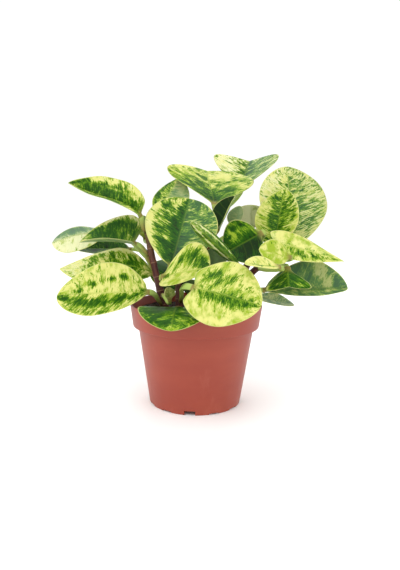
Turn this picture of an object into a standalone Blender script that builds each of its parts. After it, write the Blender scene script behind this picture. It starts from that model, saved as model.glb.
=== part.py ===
"""A variegated peperomia in a round plastic nursery pot, every leaf and stem its own solid."""
import math

import bmesh
import bpy
import numpy as np

MM = 0.001

# ---- pot, millimetres ----
POT_HEIGHT = 91.0
RIM_RADIUS = 60.0            # outer radius of the lip at its top
LIP_HEIGHT = 19.5            # how far the lip hangs down the wall
LIP_TAPER = 2.6              # lip is this much narrower at its lower edge
LIP_OVERHANG = 4.6           # step from the lip in to the wall
FOOT_RADIUS = 41.8           # outer radius near the table
EDGE_ROUND = 0.8             # rounding of the lip and foot edges
WALL = 1.4                   # thickness of the wall and lip
FLOOR = 1.5                  # thickness of the pot floor
FOOT_HEIGHT = 4.5            # floor is held this far off the table
FOOT_RING = 2.0              # thickness of the foot ring
HUB_RADIUS = 10.0            # flat pad under the middle of the floor
NOTCH_WIDTH = 9.5            # notches in the foot ring
NOTCH_SHALLOW = 1.3
NOTCH_DEEP = 4.0
NOTCH_COUNT = 12             # every third one is deep
NOTCH_TURN = -95.5           # direction of the first deep notch, degrees
POT_SEGMENTS = 60

# ---- soil and fits, millimetres ----
SOIL_DROP = 7.0              # soil surface below the rim
CLEAR = 0.3                  # gap left wherever two pieces meet
STALK_CLEAR = 0.4            # the same where a stalk meets its round stem

# ---- leaves and stems, millimetres ----
LEAF_THICK = 1.4             # blade thickness beside the midrib
RIB_DEPTH = 0.6              # how far the midrib stands out underneath
STALK_RADIUS = 1.5           # leaf stalk at the blade
STALK_FLARE = 0.5            # extra radius of the stalk at the stem
STEM_SIDES = 12
RIM_BASE = 60.0              # the rim radius the overhanging leaves are laid out for

COLLECTION = "potted_peperomia"

# Overall leaf colours.
CREAM = (0.62, 0.66, 0.28)
BRIGHT = (0.33, 0.46, 0.06)
GREEN = (0.13, 0.27, 0.04)
DARK = (0.04, 0.10, 0.02)
GREY = (0.24, 0.36, 0.24)

# Stems: points (x, y, height above the soil, diameter).
STEMS = {
    "stem_left": [(-28, 0, 0, 8.5), (-33, 0, 18, 7), (-38, 1, 38, 6), (-42, 2, 55, 6), (-46, 3, 76, 5)],
    "stem_front": [(-15, -16, 0, 8), (-15, -15, 18, 7), (-17, -14, 34, 5.5)],
    "stem_centre": [(6, 18, 0, 8.5), (9, 19, 30, 7.5), (11, 20, 60, 6.5), (13, 21, 88, 5.5)],
    "stem_right": [(28, 14, 0, 8), (38, 17, 25, 7), (49, 18, 45, 6), (55, 20, 62, 5)],
    "stem_far_right": [(36, 0, 0, 7.5), (42, 0, 20, 6.5), (49, -4, 36, 6), (59, -12, 44, 5.5),
                       (73, -24, 46, 5)],
}

# What a leaf is unless its row says otherwise. Angles in degrees, lengths in millimetres.
PLAIN_LEAF = dict(
    roll=0,        # turn of the blade about its length
    twist=0,       # further turn from base to tip
    fold=12,       # rise of each half from the midrib
    cup=10,        # bend across each half
    arch=0,        # bow of the midrib out of the blade
    peak=0.5,      # where along the leaf the bow is greatest
    wide=0.5,      # where along the leaf it is widest
    base_shape=0.75, tip_shape=0.6,   # smaller is blunter
    near=1.0, far=1.0,                # width of the left and right half
    shear=0,       # right half set forward of the left
    lobe=0,        # how far the halves reach back past the base
    rise=45,       # angle at which the stalk leaves the stem
    over_rim=False, tone=GREEN)

# Leaves: the stem and how many of its points up the stalk joins it, then base and tip of the
# blade measured from the middle of the soil surface.
LEAVES = {
    "leaf_upper_left": dict(stem="stem_left", join=3.85, base=(-51, 0, 85), tip=(-116, 4, 113), width=54,
                            roll=-34, fold=38, arch=5, peak=0.22, cup=-12, wide=0.38, base_shape=0.4,
                            tip_shape=0.72, near=0.85, far=0.78, rise=40),
    "leaf_upper_left_back": dict(stem="stem_left", join=3.9, base=(-38, 22, 86), tip=(-18, 38, 120),
                                 width=42, roll=20, fold=-20, tone=BRIGHT),
    "leaf_left_inner": dict(stem="stem_left", join=3.3, base=(-49, 22, 63), tip=(-52, 24, 85), width=18,
                            roll=-30, fold=10, tone=BRIGHT),
    "leaf_left_low": dict(stem="stem_left", join=0.45, base=(-42, -15, 19), tip=(-120, -27, 17), width=54,
                          roll=-52, fold=12, arch=2, shear=-8, over_rim=True, tone=CREAM),
    "leaf_left_mid": dict(stem="stem_left", join=1.2, base=(-40, 13, 31), tip=(-127, 10, 35), width=46,
                          roll=-48, fold=0, arch=12, peak=0.3, wide=0.4, tip_shape=0.85, far=0.8),
    "leaf_left_cupped": dict(stem="stem_left", join=2.85, base=(-56, 6, 60), tip=(-105, -4, 61), width=54,
                             roll=-22, fold=35, arch=2, lobe=6, base_shape=0.45, tip_shape=0.85, wide=0.32,
                             near=0.5, shear=-8),
    "leaf_left_far": dict(stem="stem_left", join=2.4, base=(-86, 36, 68), tip=(-138, 28, 57), width=36,
                          roll=-38, fold=-20, arch=4, tip_shape=0.45, wide=0.6, tone=GREY),
    "leaf_left_shaded": dict(stem="stem_left", join=2.0, base=(-64, 36, 52), tip=(-117, 38, 51), width=32,
                             roll=-25, fold=10, tone=DARK),
    "leaf_back_left": dict(stem="stem_left", join=0.5, base=(-26, 16, 12), tip=(-18, 60, 40), width=50,
                           fold=8, arch=4, tone=DARK),
    "leaf_centre_large": dict(stem="stem_front", join=1.85, base=(-23, -12, 41), tip=(-7, 4, 101), width=68,
                              roll=32, fold=6, wide=0.6, tip_shape=0.42),
    "leaf_centre_small": dict(stem="stem_front", join=1.6, base=(-30, -24, 34), tip=(11, -34, 44), width=50,
                              roll=45, fold=20, cup=20, shear=-10, tone=CREAM),
    "leaf_front_right": dict(stem="stem_front", join=0.7, base=(-3, -53, 30), tip=(51, -75, 20), width=61,
                             roll=48, fold=3, lobe=8, base_shape=0.5, over_rim=True, tone=BRIGHT),
    "leaf_front_low": dict(stem="stem_front", join=0.3, base=(-16, -28, 8), tip=(-19, -80, 0), width=60,
                           fold=-2, arch=6, base_shape=0.5, lobe=4, over_rim=True, tone=GREEN),
    "leaf_front_tiny": dict(stem="stem_left", join=0.75, base=(-23, -24, 13), tip=(-25, -22, 25), width=13,
                            fold=10, tone=GREY),
    "leaf_centre_narrow": dict(stem="stem_right", join=1.2, base=(39, -20, 42), tip=(-5, -54, 83), width=26,
                               roll=66, fold=58, tone=GREY),
    "leaf_top_centre": dict(stem="stem_centre", join=2.95, base=(15, 20, 96), tip=(8, 60, 128), width=88,
                            roll=8, fold=14, cup=-8, wide=0.7, base_shape=1, tip_shape=0.45, tone=BRIGHT),
    "leaf_top_back": dict(stem="stem_centre", join=2.7, base=(43, 66, 112), tip=(53, 104, 141), width=74,
                          fold=20, wide=0.7, base_shape=1, tip_shape=0.45, tone=CREAM),
    "leaf_top_dark": dict(stem="stem_centre", join=2.3, base=(18, 3, 73), tip=(33, 6, 104), width=34,
                          roll=10, fold=20, tone=DARK),
    "leaf_centre_olive": dict(stem="stem_right", join=2.65, base=(57, -2, 72), tip=(25, -9, 54), width=45,
                              roll=-62, fold=10, tone=DARK),
    "leaf_back_blue": dict(stem="stem_centre", join=1.9, base=(34, 44, 74), tip=(39, 34, 95), width=18,
                           fold=10, tone=GREY),
    "leaf_back_pale": dict(stem="stem_right", join=2.5, base=(54, 63, 72), tip=(51, 46, 96), width=34,
                           fold=10, tone=GREY),
    "leaf_centre_shaded": dict(stem="stem_centre", join=1.0, base=(16, 4, 37), tip=(15, -4, 58), width=24,
                               fold=10, tone=GREY),
    "leaf_inner_low": dict(stem="stem_centre", join=0.5, base=(3, -4, 10), tip=(-5, -22, 32), width=34,
                           fold=8, tone=DARK),
    "leaf_right_round": dict(stem="stem_right", join=2.4, base=(95, 38, 58), tip=(87, 66, 134), width=73,
                             fold=6, wide=0.54, tone=GREY),
    "leaf_right_cup": dict(stem="stem_right", join=2.9, base=(71, 17, 54), tip=(81, 31, 111), width=47,
                           fold=12, tone=BRIGHT),
    "leaf_right_long": dict(stem="stem_far_right", join=3.0, base=(66, -12, 65), tip=(127, -22, 50), width=40,
                            roll=32, fold=-8, near=1.1, far=0.85, lobe=11, base_shape=0.45, wide=0.25,
                            tip_shape=1.1, tone=CREAM),
    "leaf_right_yellow": dict(stem="stem_far_right", join=3.9, base=(78, -36, 54), tip=(51, -41, 61),
                              width=25, roll=-54, rise=30, fold=8, tone=CREAM),
    "leaf_right_flat": dict(stem="stem_far_right", join=3.05, base=(67, -54, 48), tip=(38, -62, 51), width=23,
                            roll=-20, fold=12, rise=-40, tone=CREAM),
    "leaf_right_drooping": dict(stem="stem_far_right", join=3.45, base=(76, -36, 45), tip=(75, -52, 32),
                                width=42, roll=6, fold=-30, wide=0.72, base_shape=1.1),
    "leaf_right_low": dict(stem="stem_far_right", join=0.75, base=(60, -5, 21), tip=(134, -12, 25), width=52,
                           roll=42, fold=32, wide=0.55, far=0.85, tone=GREY),
    "leaf_right_lowest": dict(stem="stem_far_right", join=0.4, base=(52, 4, 13), tip=(90, 4, 6), width=34,
                              roll=8, fold=4, tone=GREY),
    "leaf_right_behind": dict(stem="stem_right", join=1.65, base=(62, 44, 47), tip=(104, 66, 50), width=32,
                              fold=4, tone=DARK),
}

# Stations along a blade and a stalk, and places across a half blade.
BLADE_STEPS = (0.025, 0.09, 0.18, 0.3, 0.43, 0.56, 0.69, 0.81, 0.9, 0.96, 0.993)
STALK_STEPS = (0.0, 0.35, 0.7, 1.0)
MID_HALF = 0.55


def unit(v):
    return v / np.linalg.norm(v)


def stem_at(name, place):
    """Centre, direction and radius of a stem, at a place counted in its points."""
    rows = np.array(STEMS[name], float)
    slope = np.gradient(rows, axis=0)
    i = min(max(int(place), 0), len(rows) - 2)
    t = min(max(place - i, 0), 1)
    row = ((2 * t**3 - 3 * t**2 + 1) * rows[i] + (t**3 - 2 * t**2 + t) * slope[i]
           + (3 * t**2 - 2 * t**3) * rows[i + 1] + (t**3 - t**2) * slope[i + 1])
    run = ((6 * t**2 - 6 * t) * (rows[i] - rows[i + 1]) + (3 * t**2 - 4 * t + 1) * slope[i]
           + (3 * t**2 - 2 * t) * slope[i + 1])
    return row[:3], unit(run[:3]), row[3] / 2


def complete(row):
    """A leaf row with the plain values filled in and its place on the rim applied."""
    leaf = dict(PLAIN_LEAF)
    leaf.update(row)
    base, tip = np.array(leaf["base"], float), np.array(leaf["tip"], float)
    if leaf["over_rim"]:
        out = unit(np.array([tip[0], tip[1], 0.0])) * (RIM_RADIUS - RIM_BASE)
        base, tip = base + out, tip + out
    leaf["base"], leaf["tip"] = base, tip
    return leaf


def midrib(leaf, u):
    """Points of the midrib at u from 0 to 1, and the blade's fixed directions."""
    base, tip = leaf["base"], leaf["tip"]
    along = unit(tip - base)
    up = np.array([0.0, 0.0, 1.0])
    up = unit(up - along * np.dot(up, along))
    turn = math.radians(leaf["roll"])
    normal = up * math.cos(turn) + np.cross(along, up) * math.sin(turn)
    side = np.cross(along, normal)
    p = leaf["peak"]
    u = np.clip(u, 0, 1)
    if p <= 0.5:
        power = (1 - p) / p
        bump = u * (1 - u)**power / (p * (1 - p)**power)
    else:
        power = p / (1 - p)
        bump = (1 - u) * u**power / ((1 - p) * p**power)
    return base + np.outer(u, tip - base) + np.outer(bump, normal * leaf["arch"]), side


def blade_frames(leaf, u):
    """Midrib points with the direction along, across and up at each."""
    points, side = midrib(leaf, u)
    ahead = midrib(leaf, u + 0.001)[0] - midrib(leaf, u - 0.001)[0]
    ahead /= np.linalg.norm(ahead, axis=1)[:, None]
    across = side[None, :] - ahead * (ahead @ side)[:, None]
    across /= np.linalg.norm(across, axis=1)[:, None]
    normal = np.cross(across, ahead)
    turn = np.radians(leaf["twist"]) * (u - 0.5)
    c, s = np.cos(turn)[:, None], np.sin(turn)[:, None]
    return points, ahead, across * c - normal * s, normal * c + across * s


def blade(leaf, u, v):
    """Middle surface of the blade: u along it, v from -1 at the left edge to 1 at the right."""
    u, v = np.asarray(u, float), np.asarray(v, float)
    points, ahead, across, normal = blade_frames(leaf, u)
    w = leaf["wide"]
    rising = np.sin(math.pi / 2 * np.clip(u / w, 0, 1))**leaf["base_shape"]
    falling = np.cos(math.pi / 2 * np.clip((u - w) / (1 - w), 0, 1))**leaf["tip_shape"]
    share = np.where(u < w, rising, falling)
    half = leaf["width"] / 2
    fold, cup = math.radians(leaf["fold"]), math.radians(leaf["cup"])
    grid = np.zeros((len(u), len(v), 3))
    normals = np.zeros_like(grid)
    for j, place in enumerate(v):
        sign = -1 if place < 0 else 1
        arc = abs(place) * share * (leaf["near"] if place < 0 else leaf["far"])
        if cup:
            x = (np.sin(fold + cup * arc) - math.sin(fold)) / cup
            y = (math.cos(fold) - np.cos(fold + cup * arc)) / cup
        else:
            x, y = arc * math.cos(fold), arc * math.sin(fold)
        forward = leaf["shear"] * place * share - leaf["lobe"] * abs(place)**1.5 * (1 - u)**2
        lean = fold + cup * arc
        grid[:, j] = (points + across * (sign * x * half)[:, None] + normal * (y * half)[:, None]
                      + ahead * forward[:, None])
        normals[:, j] = normal * np.cos(lean)[:, None] - across * (sign * np.sin(lean))[:, None]
    return grid, normals


def stalk(leaf, steps):
    """Centres, directions and flat start of the stalk, from its stem to the blade."""
    centre, axis, radius = stem_at(leaf["stem"], leaf["join"])
    points, ahead, across, normal = blade_frames(leaf, np.array([0.0]))
    end = points[0]
    out = end - centre
    out = unit(out - axis * np.dot(out, axis))
    start = centre + out * (radius + STALK_CLEAR)
    rise = math.radians(leaf["rise"])
    reach = np.linalg.norm(end - start) * 0.38
    p1 = start + (out * math.cos(rise) + axis * math.sin(rise)) * reach
    p2 = end - ahead[0] * reach
    k = np.asarray(steps, float)[:, None]
    path = (1 - k)**3 * start + 3 * (1 - k)**2 * k * p1 + 3 * (1 - k) * k**2 * p2 + k**3 * end
    ways = (1 - k)**2 * (p1 - start) + 2 * (1 - k) * k * (p2 - p1) + k**2 * (end - p2)
    ways /= np.linalg.norm(ways, axis=1)[:, None]
    return path, ways, out, across[0]


def leaf_rings(leaf):
    """Rings of eight points from the stem end of the stalk to the tip of the blade."""
    rings = []
    path, ways, out, side = stalk(leaf, STALK_STEPS)
    angles = np.radians([180, 135, 90, 45, 0, -45, -90, -135])
    sides = [side]
    for way in ways[::-1]:
        flat = sides[-1] - way * np.dot(way, sides[-1])
        sides.append(unit(flat))
    sides = sides[1:][::-1]
    for i, step in enumerate(STALK_STEPS):
        normal = np.cross(sides[i], ways[i])
        radius = STALK_RADIUS + STALK_FLARE * (1 - step)**2
        ring = path[i] + radius * (np.outer(np.cos(angles), sides[i]) + np.outer(np.sin(angles), normal))
        if i == 0:
            ring = ring - np.outer((ring - path[0]) @ out / np.dot(ways[0], out), ways[0])
        rings.append(ring)
    u = np.array(BLADE_STEPS)
    grid, normals = blade(leaf, u, (-1, -MID_HALF, 0, MID_HALF, 1))
    thick = LEAF_THICK / 2 * np.clip(1.5 - u, 0, 1)[:, None]
    rib = RIB_DEPTH * (1 - u)[:, None]
    for i in range(len(u)):
        g, n, t, r = grid[i], normals[i], thick[i], rib[i]
        rings.append(np.array([g[0], g[1] + n[1] * t, g[2] + n[2] * t, g[3] + n[3] * t, g[4],
                               g[3] - n[3] * t, g[2] - n[2] * (t + r), g[1] - n[1] * t]))
    return rings


def stem_rings(name):
    """Rings of a stem from its foot on the soil to its rounded top."""
    last = len(STEMS[name]) - 1
    places = list(np.linspace(0, last, 2 * last + 1)) + [last]
    rings = []
    angles = np.linspace(0, 2 * math.pi, STEM_SIDES, endpoint=False)
    for i, place in enumerate(places):
        centre, axis, radius = stem_at(name, place)
        if i == 0:
            centre, axis = centre + np.array([0, 0, CLEAR]), np.array([0.0, 0.0, 1.0])
        if i == len(places) - 1:
            centre, radius = centre + axis * radius * 0.7, radius * 0.55
        side = unit(np.cross([0.0, 1.0, 0.0], axis))
        normal = np.cross(axis, side)
        rings.append(centre + radius * (np.outer(np.cos(angles), side) + np.outer(np.sin(angles), normal)))
    return rings


def loft(rings):
    """Points and faces of the closed body through a run of rings."""
    n = len(rings[0])
    points = np.concatenate(rings)
    faces = [tuple(range(n))[::-1], tuple(range(len(points) - n, len(points)))]
    for i in range(len(rings) - 1):
        for j in range(n):
            k = (j + 1) % n
            faces.append((i * n + j, i * n + k, (i + 1) * n + k, (i + 1) * n + j))
    return points, faces


# ---- build ----
SOIL_TOP = POT_HEIGHT - SOIL_DROP
LIP_EDGE = POT_HEIGHT - LIP_HEIGHT
WALL_TOP_RADIUS = RIM_RADIUS - LIP_TAPER - LIP_OVERHANG
FLOOR_TOP = FOOT_HEIGHT + FLOOR


def wall_radius(z):
    """Outer radius of the wall below the lip."""
    return FOOT_RADIUS + (WALL_TOP_RADIUS - FOOT_RADIUS) * z / LIP_EDGE


def lip_radius(z):
    """Outer radius of the lip."""
    return RIM_RADIUS - LIP_TAPER * (POT_HEIGHT - z) / LIP_HEIGHT


def inside(z):
    """Radius of the pot's inner face, with the step where the lip begins."""
    step_low, step_high = LIP_EDGE - WALL, LIP_EDGE + WALL
    low, high = wall_radius(step_low) - WALL, lip_radius(step_high) - WALL
    if z <= step_low:
        return wall_radius(z) - WALL
    if z >= step_high:
        return lip_radius(z) - WALL
    return low + (high - low) * (z - step_low) / (step_high - step_low)


def new_material(name, colour, roughness):
    mat = bpy.data.materials.new(name)
    mat.use_nodes = True
    shader = mat.node_tree.nodes["Principled BSDF"]
    shader.inputs["Base Color"].default_value = (*colour, 1)
    shader.inputs["Roughness"].default_value = roughness
    return mat


def new_object(name, points, faces, material, collection, scale=MM):
    mesh = bpy.data.meshes.new(name)
    mesh.from_pydata([tuple(p * scale) for p in np.asarray(points, float)], [], faces)
    bm = bmesh.new()
    bm.from_mesh(mesh)
    bmesh.ops.recalc_face_normals(bm, faces=bm.faces)
    bmesh.ops.triangulate(bm, faces=bm.faces)
    bm.to_mesh(mesh)
    bm.free()
    obj = bpy.data.objects.new(name, mesh)
    collection.objects.link(obj)
    if material:
        obj.data.materials.append(material)
    return obj


def turned(name, profile, material, collection):
    """A solid turned about the pot's axis from points (radius, height)."""
    mesh = bpy.data.meshes.new(name)
    edges = [(i, i + 1) for i in range(len(profile) - 1)]
    mesh.from_pydata([(r * MM, 0, z * MM) for r, z in profile], edges, [])
    obj = bpy.data.objects.new(name, mesh)
    collection.objects.link(obj)
    obj.data.materials.append(material)
    screw = obj.modifiers.new("turn", "SCREW")
    screw.steps = screw.render_steps = POT_SEGMENTS
    screw.use_merge_vertices = True
    screw.merge_threshold = 0.00001
    return obj


for old in list(bpy.data.objects):
    bpy.data.objects.remove(old)

plant = bpy.data.collections.new(COLLECTION)
cutters = bpy.data.collections.new("cutters")
cutters.hide_render = True
bpy.context.scene.collection.children.link(plant)
bpy.context.scene.collection.children.link(cutters)

# Pot, turned in one piece, then notched round its foot.
e = EDGE_ROUND
pot_profile = [
    (0, FLOOR_TOP),
    (inside(FLOOR_TOP), FLOOR_TOP),
    (inside(LIP_EDGE - WALL), LIP_EDGE - WALL),
    (inside(LIP_EDGE + WALL), LIP_EDGE + WALL),
    (inside(POT_HEIGHT - e / 2), POT_HEIGHT - e / 2),
    (lip_radius(POT_HEIGHT) - WALL / 2, POT_HEIGHT),
    (lip_radius(POT_HEIGHT) - e / 2, POT_HEIGHT - e / 4),
    (lip_radius(POT_HEIGHT - e), POT_HEIGHT - e),
    (lip_radius(LIP_EDGE + e * 2), LIP_EDGE + e * 2),
    (lip_radius(LIP_EDGE) - e * 0.6, LIP_EDGE + e * 0.6),
    (lip_radius(LIP_EDGE) - e * 2, LIP_EDGE),
    (WALL_TOP_RADIUS + e, LIP_EDGE - e / 2),
    (wall_radius(LIP_EDGE - e * 2), LIP_EDGE - e * 2),
    (wall_radius(e * 3), e * 3),
    (wall_radius(e) - e / 3, e),
    (wall_radius(0) - e, 0),
    (FOOT_RADIUS - FOOT_RING, 0),
    (FOOT_RADIUS - FOOT_RING, FOOT_HEIGHT),
    (HUB_RADIUS, FOOT_HEIGHT),
    (HUB_RADIUS, 0),
    (0, 0),
]
pot = turned("pot", pot_profile, new_material("pot_plastic", (0.40, 0.095, 0.065), 0.5), plant)

corner_points, corner_faces = [], []
for i in range(NOTCH_COUNT):
    turn = math.radians(NOTCH_TURN + i * 360 / NOTCH_COUNT)
    way, side = np.array([math.cos(turn), math.sin(turn), 0]), np.array([-math.sin(turn), math.cos(turn), 0])
    high = NOTCH_DEEP if i % 3 == 0 else NOTCH_SHALLOW
    reach = (FOOT_RADIUS - FOOT_RING * 2, FOOT_RADIUS + FOOT_RING)
    first = len(corner_points)
    for z in (-FOOT_HEIGHT, high):
        for r, s in ((0, -1), (1, -1), (1, 1), (0, 1)):
            corner_points.append(way * reach[r] + side * (s * NOTCH_WIDTH / 2) + np.array([0, 0, z]))
    for face in ((3, 2, 1, 0), (4, 5, 6, 7), (0, 1, 5, 4), (1, 2, 6, 5), (2, 3, 7, 6), (3, 0, 4, 7)):
        corner_faces.append(tuple(first + k for k in face))
notches = new_object("foot_notches", corner_points, corner_faces, None, cutters)
notches.display_type = "WIRE"
cut = pot.modifiers.new("notches", "BOOLEAN")
cut.operation = "DIFFERENCE"
cut.solver = "EXACT"
cut.object = notches

# Soil fills the pot and follows its inner face.
soil_profile = [
    (0, SOIL_TOP),
    (inside(SOIL_TOP) - CLEAR - 2, SOIL_TOP),
    (inside(SOIL_TOP) - CLEAR, SOIL_TOP - 1),
    (inside(LIP_EDGE + WALL) - CLEAR, LIP_EDGE + WALL),
    (inside(LIP_EDGE - WALL) - CLEAR, LIP_EDGE - WALL + CLEAR * 0.8),
    (inside(FLOOR_TOP) - CLEAR, FLOOR_TOP + CLEAR),
    (0, FLOOR_TOP + CLEAR),
]
turned("soil", soil_profile, new_material("potting_soil", (0.03, 0.02, 0.014), 0.95), plant)

# Stems and leaves stand on the soil surface.
lift = np.array([0, 0, SOIL_TOP])
for name in STEMS:
    points, faces = loft(stem_rings(name))
    new_object(name, points + lift, faces, new_material(name + "_bark", (0.09, 0.035, 0.022), 0.6), plant)

for name, row in LEAVES.items():
    leaf = complete(row)
    points, faces = loft(leaf_rings(leaf))
    new_object(name, points + lift, faces, new_material(name + "_green", leaf["tone"], 0.4), plant)
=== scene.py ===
import math
import random

import bmesh
import bpy
import numpy as np
from mathutils import Matrix, Vector, noise


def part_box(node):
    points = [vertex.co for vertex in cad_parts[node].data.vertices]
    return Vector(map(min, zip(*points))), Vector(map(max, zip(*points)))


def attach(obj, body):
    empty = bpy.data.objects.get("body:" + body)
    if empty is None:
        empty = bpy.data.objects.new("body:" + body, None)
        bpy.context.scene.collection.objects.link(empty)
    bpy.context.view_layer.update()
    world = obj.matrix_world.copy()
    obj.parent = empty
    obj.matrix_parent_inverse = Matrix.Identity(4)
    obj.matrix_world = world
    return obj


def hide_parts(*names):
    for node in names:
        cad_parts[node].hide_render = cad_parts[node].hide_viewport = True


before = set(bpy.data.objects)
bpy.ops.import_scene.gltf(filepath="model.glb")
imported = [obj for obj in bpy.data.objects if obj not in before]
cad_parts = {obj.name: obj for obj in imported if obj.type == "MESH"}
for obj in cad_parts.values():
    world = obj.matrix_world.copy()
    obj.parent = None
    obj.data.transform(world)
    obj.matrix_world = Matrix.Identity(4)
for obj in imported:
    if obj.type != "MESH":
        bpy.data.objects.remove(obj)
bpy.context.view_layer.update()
mm = 0.001
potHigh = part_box("pot")[1]
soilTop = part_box("soil")[1].z / mm  # every leaf and stem is measured up from here
print("frame loaded, soil surface at", round(soilTop, 1), "mm")


# Colours are given as they look on a screen, 0 to 255.
def screenColour(red, green, blue):
    return tuple((c / 255 / 12.92) if c < 10.5 else ((c / 255 + 0.055) / 1.055)**2.4
                 for c in (red, green, blue)) + (1,)


def addNode(tree, kind, sockets=(), **settings):
    made = tree.nodes.new("ShaderNode" + kind)
    for name, value in settings.items():
        setattr(made, name, value)
    for name, value in dict(sockets).items():
        if isinstance(value, bpy.types.NodeSocket):
            tree.links.new(value, made.inputs[name])
        else:
            made.inputs[name].default_value = value
    return made


def maths(tree, operation, first, second=0.0):
    return addNode(tree, "Math", {0: first, 1: second}, operation=operation).outputs[0]


def rising(tree, value, low, high):
    made = addNode(tree, "MapRange", {"Value": value, "From Min": low, "From Max": high},
                   interpolation_type="SMOOTHSTEP")
    return made.outputs[0]


def mixed(tree, share, first, second):
    made = addNode(tree, "Mix", data_type="RGBA")
    for place, value in ((0, share), (6, first), (7, second)):
        if isinstance(value, bpy.types.NodeSocket):
            tree.links.new(value, made.inputs[place])
        else:
            made.inputs[place].default_value = value
    return made.outputs[2]


def grain(tree, place, scale, detail=3.0, roughness=0.55, distortion=0.0):
    made = addNode(tree, "TexNoise", {"Vector": place, "Scale": scale, "Detail": detail,
                                      "Roughness": roughness, "Distortion": distortion})
    return made.outputs[0]


def stretched(tree, place, x, y, z):
    return addNode(tree, "VectorMath", {0: place, 1: (x, y, z)}, operation="MULTIPLY").outputs[0]


def startMaterial(name, **sockets):
    material = bpy.data.materials.new(name)
    material.use_nodes = True
    tree = material.node_tree
    shader = tree.nodes["Principled BSDF"]
    for socket, value in sockets.items():
        shader.inputs[socket.replace("_", " ")].default_value = value
    return material, tree, shader


def bumped(tree, shader, height):
    bump = addNode(tree, "Bump", {"Height": height, "Distance": mm, "Strength": 1.0})
    tree.links.new(bump.outputs[0], shader.inputs["Normal"])


def meshPiece(name, points, faces, material, nodes):
    mesh = bpy.data.meshes.new(name)
    mesh.from_pydata((np.asarray(points, float) * mm).tolist(), [], faces)
    mesh.materials.append(material)
    mesh.shade_smooth()
    piece = bpy.data.objects.new(name, mesh)
    bpy.context.scene.collection.objects.link(piece)
    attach(piece, "root")
    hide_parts(*nodes)
    return piece


def addField(piece, name, values):
    values = np.asarray(values, np.float32)
    kind = "FLOAT_VECTOR" if values.ndim == 2 else "FLOAT"
    field = piece.data.attributes.new(name, kind, "POINT")
    field.data.foreach_set("vector" if values.ndim == 2 else "value", values.ravel())


def field(tree, name):
    made = addNode(tree, "Attribute", attribute_name=name)
    return made.outputs["Vector"], made.outputs["Fac"]


def split(tree, vector):
    return addNode(tree, "SeparateXYZ", {0: vector}).outputs


def ringFaces(rings, around, closeEnds=True):
    faces = []
    for i in range(rings - 1):
        for j in range(around):
            k = (j + 1) % around
            faces.append((i * around + j, i * around + k, (i + 1) * around + k, (i + 1) * around + j))
    if closeEnds:
        faces.append(tuple(range(around))[::-1])
        faces.append(tuple(range((rings - 1) * around, rings * around)))
    return faces


def unit(v):
    return v / np.linalg.norm(v)


def smooth(x):
    x = np.clip(x, 0, 1)
    return x * x * (3 - 2 * x)


# Leaf skin: cream ground, yellow-green clouds, two greens that run along the veins, dark flecks.
# The blue colour is painted sheen and shade: a bluish-grey tint standing in for reflected light and shade on
# a leaf.
leafSkinLook = dict(
    cream=(212, 211, 124), pale=(224, 224, 176), lime=(148, 172, 46), green=(86, 130, 14),
    dark=(30, 78, 0), deep=(14, 42, 2), blue=(108, 138, 112), back=(136, 158, 108),
    stalk=(160, 182, 92), stalkFoot=(132, 120, 62), margin=(206, 210, 128),
    veinSpacing=7.5, roughness=0.36, veinDepth=0.25, grainDepth=0.05)


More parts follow.
